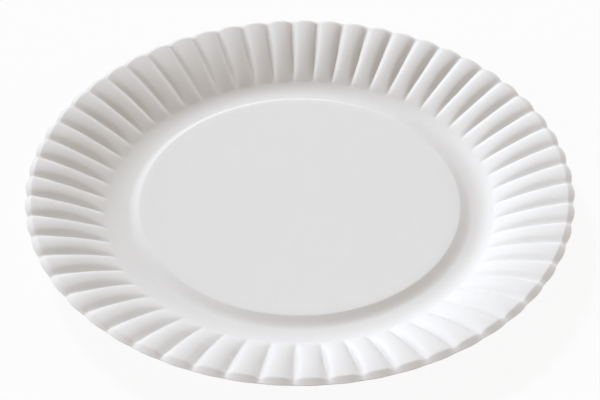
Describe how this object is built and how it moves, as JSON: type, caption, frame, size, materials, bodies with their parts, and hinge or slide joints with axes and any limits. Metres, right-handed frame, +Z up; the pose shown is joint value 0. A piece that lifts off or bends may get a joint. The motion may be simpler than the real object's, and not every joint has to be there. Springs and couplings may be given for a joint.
{
  "type": "paper plate",
  "caption": "Round disposable plate of pressed paperboard with a flat centre, a shallow moat and a wide fluted rim with a scalloped lip.",
  "frame": {"origin": "centre of the plate on the table it stands on, at the underside of its foot ring", "axes": "+Z up along the axis of the plate, +X through the middle of one flute"},
  "size_m": [0.2289, 0.229, 0.0179],
  "materials": {
    "board": "uncoated matte white board"
  },
  "bodies": {
    "root": {"plate": "board"}
  },
  "joints": []
}
